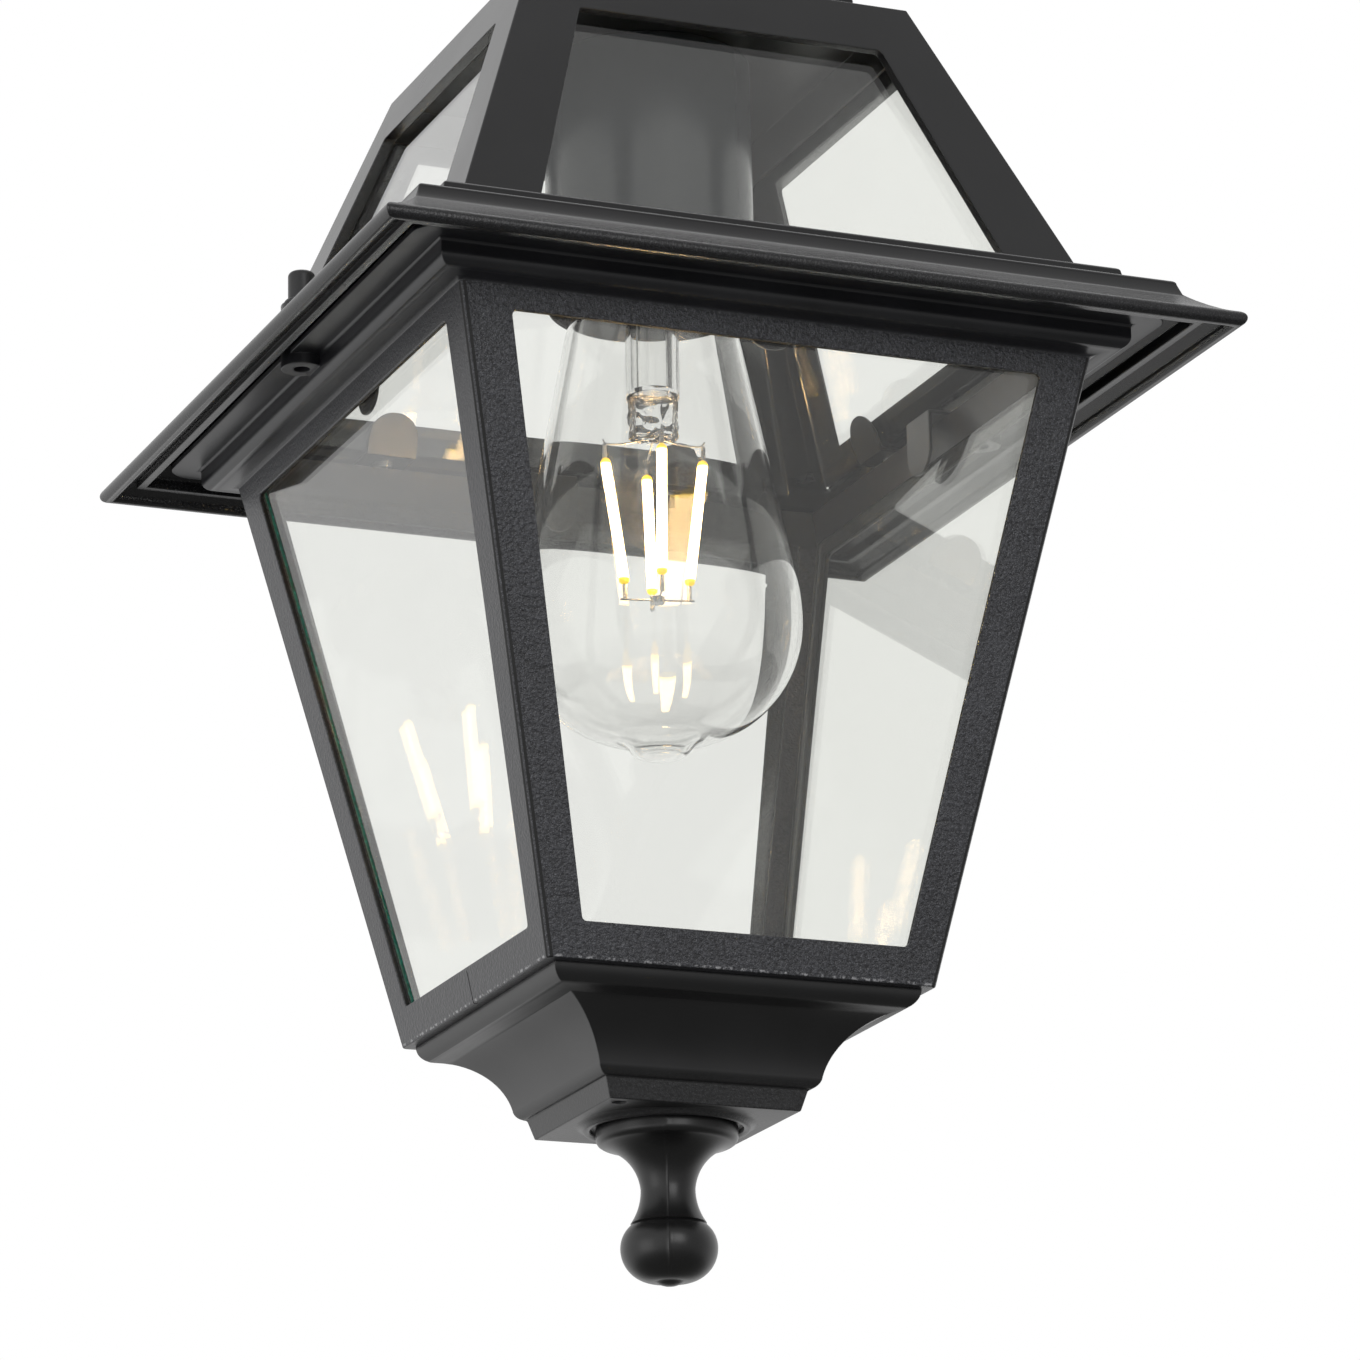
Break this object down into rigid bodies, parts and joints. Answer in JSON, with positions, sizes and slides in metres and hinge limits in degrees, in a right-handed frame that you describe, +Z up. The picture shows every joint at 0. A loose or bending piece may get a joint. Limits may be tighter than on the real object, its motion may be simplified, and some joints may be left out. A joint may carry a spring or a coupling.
{
  "type": "hanging_lantern",
  "caption": "Square black outdoor hanging lantern with a glazed tapered body, a glazed hood over a moulded brim, an ogee foot with a turned finial and a lit filament lamp",
  "frame": {"origin": "centre of the hanging eye", "axes": "+Z up, the eye's bore along Y, the thumb screws to -X and +X, the cable inlet at +Y"},
  "size_m": [0.1964, 0.1964, 0.3395],
  "materials": {
    "cast_black": "textured powder coat",
    "finial_black": "satin",
    "knob_black": "satin",
    "clear_glass": "clear",
    "bulb_glass": "clear",
    "sleeve_grey": "satin",
    "sheet_steel": "satin",
    "screw_steel": "satin",
    "brass": "satin",
    "holder_plastic": "matte",
    "bulb_metal": "satin",
    "rubber": "matte",
    "filament": "lit"
  },
  "bodies": {
    "lantern": {"hood": "cast_black", "body_frame": "cast_black", "base_cup": "cast_black", "top_cap": "cast_black", "hang_loop": "cast_black", "finial": "finial_black", "roof_pane_front": "clear_glass", "roof_pane_right": "clear_glass", "roof_pane_back": "clear_glass", "roof_pane_left": "clear_glass", "body_pane_front": "clear_glass", "body_pane_right": "clear_glass", "body_pane_back": "clear_glass", "body_pane_left": "clear_glass", "bulb_glass": "bulb_glass", "bulb_stem": "bulb_glass", "lamp_sleeve": "sleeve_grey", "roof_retainer": "sheet_steel", "roof_clips": "sheet_steel", "body_clips": "sheet_steel", "roof_clip_screws": "screw_steel", "body_clip_screws": "screw_steel", "base_screws": "screw_steel", "finial_bolt": "screw_steel", "finial_washer": "screw_steel", "nipple_washer": "screw_steel", "loop_washer": "screw_steel", "bulb_hub": "screw_steel", "bulb_upper_wires": "screw_steel", "bulb_lower_wires": "screw_steel", "nipple": "brass", "nipple_nut": "brass", "holder_shell": "brass", "holder_contact": "brass", "bulb_contact": "brass", "holder_body": "holder_plastic", "bulb_insulator": "holder_plastic", "bulb_cap": "bulb_metal", "cap_gasket": "rubber", "cable_grommet": "rubber", "bulb_filaments": "filament"},
    "thumb_screw_left": {"thumb_screw_left": "knob_black"},
    "thumb_screw_right": {"thumb_screw_right": "knob_black"}
  },
  "joints": [
    {"name": "left_thumb_turn", "type": "hinge", "parent": "lantern", "child": "thumb_screw_left", "pos_m": [-0.0825, 0, -0.109], "axis": [0, 0, 1], "continuous": true},
    {"name": "right_thumb_turn", "type": "hinge", "parent": "lantern", "child": "thumb_screw_right", "pos_m": [0.0825, 0, -0.109], "axis": [0, 0, 1], "continuous": true}
  ]
}
